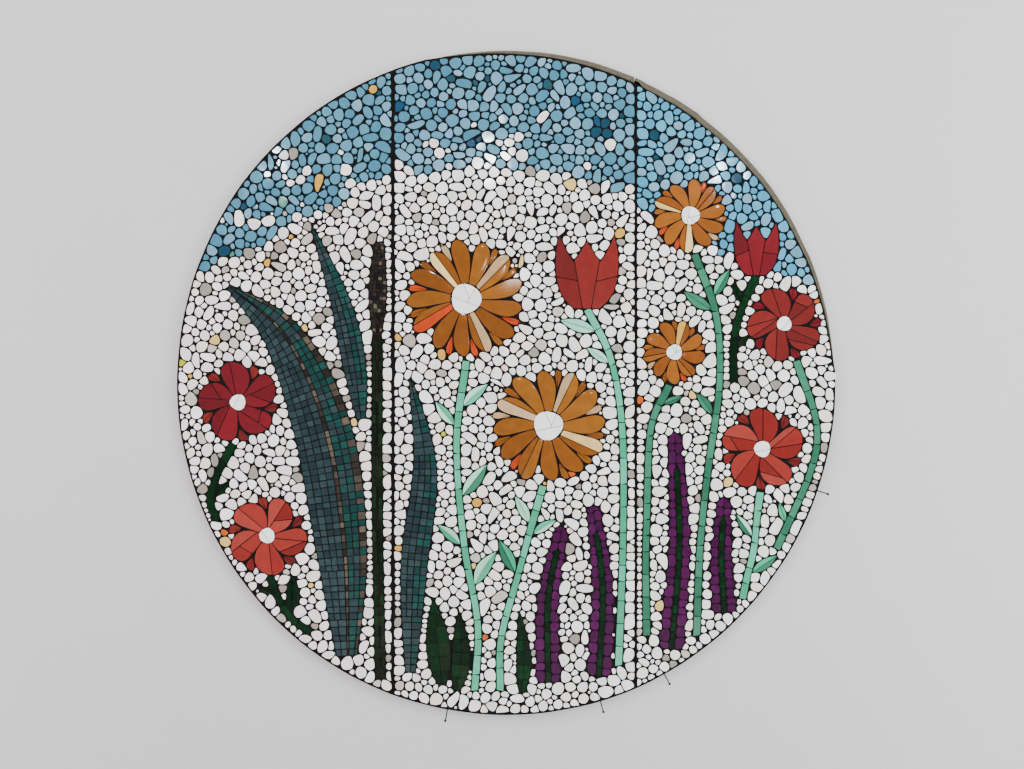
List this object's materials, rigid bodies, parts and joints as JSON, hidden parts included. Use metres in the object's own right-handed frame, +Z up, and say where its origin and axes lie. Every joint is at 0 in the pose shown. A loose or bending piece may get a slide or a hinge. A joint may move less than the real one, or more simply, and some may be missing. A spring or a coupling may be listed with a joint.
{
  "type": "mosaic panel",
  "caption": "Round wall mosaic on jointed backing boards: pebble tiles in dark grout round raised cut-tile flowers, stems and grass blades.",
  "frame": {"origin": "centre of the disc, on the flat back of the middle backing board, where it lies against the wall", "axes": "+Z up the face, +X to the viewer's right, -Y out of the wall towards the viewer"},
  "size_m": [1.628, 0.0713, 1.646],
  "materials": {
    "board": "sawn sheet edge and back, brown-grey, smeared with adhesive",
    "white_tile": "white nipped pebble tiles set in near-black grout",
    "sky_tile": "sky-blue nipped pebble tiles set in near-black grout",
    "ochre_tile": "gloss ochre glaze",
    "orange_tile": "gloss orange glaze",
    "red_tile": "gloss brick-red glaze",
    "coral_tile": "gloss coral glaze",
    "dark_red_tile": "gloss dark-red glaze",
    "centre_tile": "gloss white glaze",
    "mint_tile": "gloss mint glaze",
    "green_tile": "gloss green glaze",
    "dark_green_tile": "gloss dark-green glaze",
    "purple_tile": "gloss purple glaze",
    "teal_tile": "small teal tesserae, satin",
    "reed_tile": "brown-black satin tesserae",
    "grout": "near-black cement grout, matt",
    "nail": "dark steel"
  },
  "bodies": {
    "root": {"backing_board_left": "board", "backing_board_middle": "board", "backing_board_right": "board", "blossom_far_left_centre": "centre_tile", "blossom_far_left_petals": "dark_red_tile", "blossom_far_right_centre": "centre_tile", "blossom_far_right_petals": "red_tile", "blossom_low_left_centre": "centre_tile", "blossom_low_left_petals": "coral_tile", "blossom_low_right_centre": "centre_tile", "blossom_low_right_petals": "coral_tile", "daisy_high_centre": "centre_tile", "daisy_high_petals": "ochre_tile", "daisy_low_centre": "centre_tile", "daisy_low_petals": "ochre_tile", "daisy_side_centre": "centre_tile", "daisy_side_petals": "orange_tile", "daisy_sky_centre": "centre_tile", "daisy_sky_petals": "orange_tile", "grass_blade_short": "teal_tile", "grass_blade_tall": "teal_tile", "grass_blade_upright": "teal_tile", "lavender_middle_florets": "purple_tile", "lavender_middle_stem": "dark_green_tile", "lavender_right_florets": "purple_tile", "lavender_right_stem": "dark_green_tile", "lavender_seam_florets": "purple_tile", "lavender_seam_stem": "dark_green_tile", "lavender_tall_florets": "purple_tile", "lavender_tall_stem": "dark_green_tile", "leaf_tuft_left": "dark_green_tile", "leaf_tuft_middle": "dark_green_tile", "leaf_tuft_right": "dark_green_tile", "reed_head": "reed_tile", "reed_stalk": "dark_green_tile", "sky_pebbles_left": "sky_tile", "sky_pebbles_middle": "sky_tile", "sky_pebbles_right": "sky_tile", "stem_daisy_high": "mint_tile", "stem_daisy_low": "mint_tile", "stem_daisy_side": "green_tile", "stem_daisy_sky": "green_tile", "stem_far_left": "dark_green_tile", "stem_far_right": "green_tile", "stem_low_left": "dark_green_tile", "stem_low_right": "mint_tile", "stem_tulip_middle": "mint_tile", "stem_tulip_right": "dark_green_tile", "support_nail_1": "nail", "support_nail_2": "nail", "support_nail_3": "nail", "support_nail_4": "nail", "tulip_middle": "red_tile", "tulip_right": "dark_red_tile", "white_pebbles_left": "white_tile", "white_pebbles_middle": "white_tile", "white_pebbles_right": "white_tile"}
  },
  "joints": []
}
